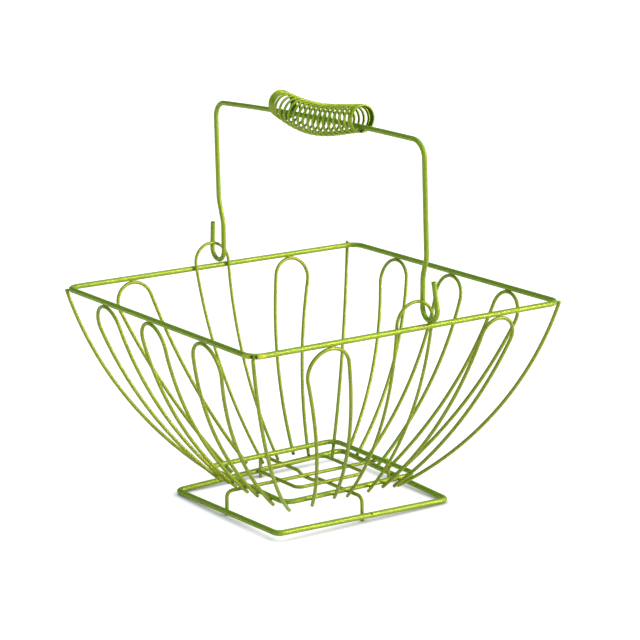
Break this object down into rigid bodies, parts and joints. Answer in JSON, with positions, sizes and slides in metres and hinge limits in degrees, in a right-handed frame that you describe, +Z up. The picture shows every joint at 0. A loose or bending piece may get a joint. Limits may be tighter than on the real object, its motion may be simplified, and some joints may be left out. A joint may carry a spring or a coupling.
{
  "type": "wire fruit basket with bail handle",
  "caption": "Lime green welded wire fruit basket with bowed petal loop walls, a foot frame and a swinging bail handle with a coiled grip",
  "frame": {"origin": "middle of the bounding box in plan, on the plane that the leg ends stand on", "axes": "+Z up, through the mouth; the two ears and the bail hooks lie along Y, and -Y is the front; +X to the right"},
  "size_m": [0.2838, 0.2901, 0.3185],
  "materials": {
    "lacquer": "glossy metallic lime green lacquer"
  },
  "bodies": {
    "basket": {"rim": "lacquer", "floor_ring": "lacquer", "foot_ring": "lacquer", "leg_wire_x": "lacquer", "leg_wire_y": "lacquer", "inner_ring": "lacquer", "rib_front_left": "lacquer", "rib_front_right": "lacquer", "rib_back_left": "lacquer", "rib_back_right": "lacquer", "loop_front_left": "lacquer", "ear_loop_front": "lacquer", "loop_front_right": "lacquer", "loop_back_right": "lacquer", "ear_loop_back": "lacquer", "loop_back_left": "lacquer", "loop_right_front": "lacquer", "loop_right_mid": "lacquer", "loop_right_back": "lacquer", "loop_left_back": "lacquer", "loop_left_mid": "lacquer", "loop_left_front": "lacquer"},
    "bail": {"bail": "lacquer", "grip": "lacquer"}
  },
  "joints": [
    {"name": "bail_swing", "type": "hinge", "parent": "basket", "child": "bail", "pos_m": [0.0081, 0, 0.16825], "axis": [-0.0424, 0.9991, 0], "range_deg": [-84, 84]}
  ]
}
